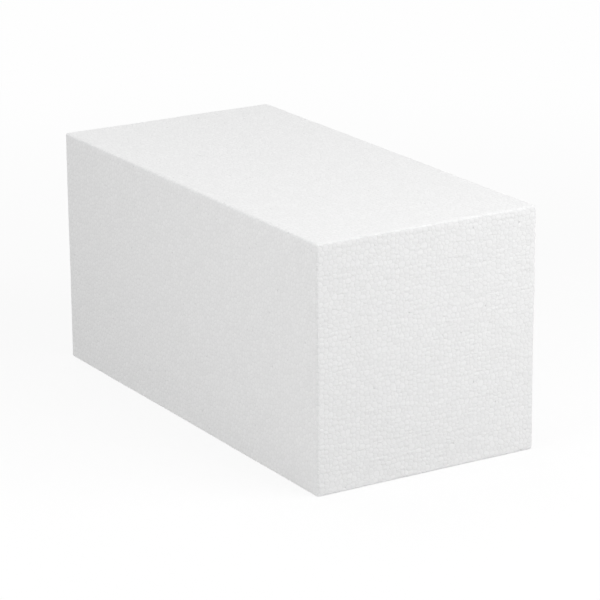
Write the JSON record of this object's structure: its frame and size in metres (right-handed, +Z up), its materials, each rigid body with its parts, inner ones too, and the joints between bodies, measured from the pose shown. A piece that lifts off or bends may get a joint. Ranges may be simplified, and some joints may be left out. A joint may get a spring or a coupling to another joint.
{
  "type": "foam block",
  "caption": "Plain rectangular block of white expanded polystyrene bead foam, square in section, with softened edges. It serves as a light base, filler or blank to cut, carve, pin or glue.",
  "frame": {"origin": "middle of the base, where the block stands on the bench", "axes": "+X along the block's length, +Y across its width, +Z up"},
  "size_m": [0.2996, 0.1474, 0.1473],
  "materials": {
    "bead_foam": "matte white expanded polystyrene, cut with a hot wire, with a fine grain of beads"
  },
  "bodies": {
    "root": {"foam_block": "bead_foam"}
  },
  "joints": []
}
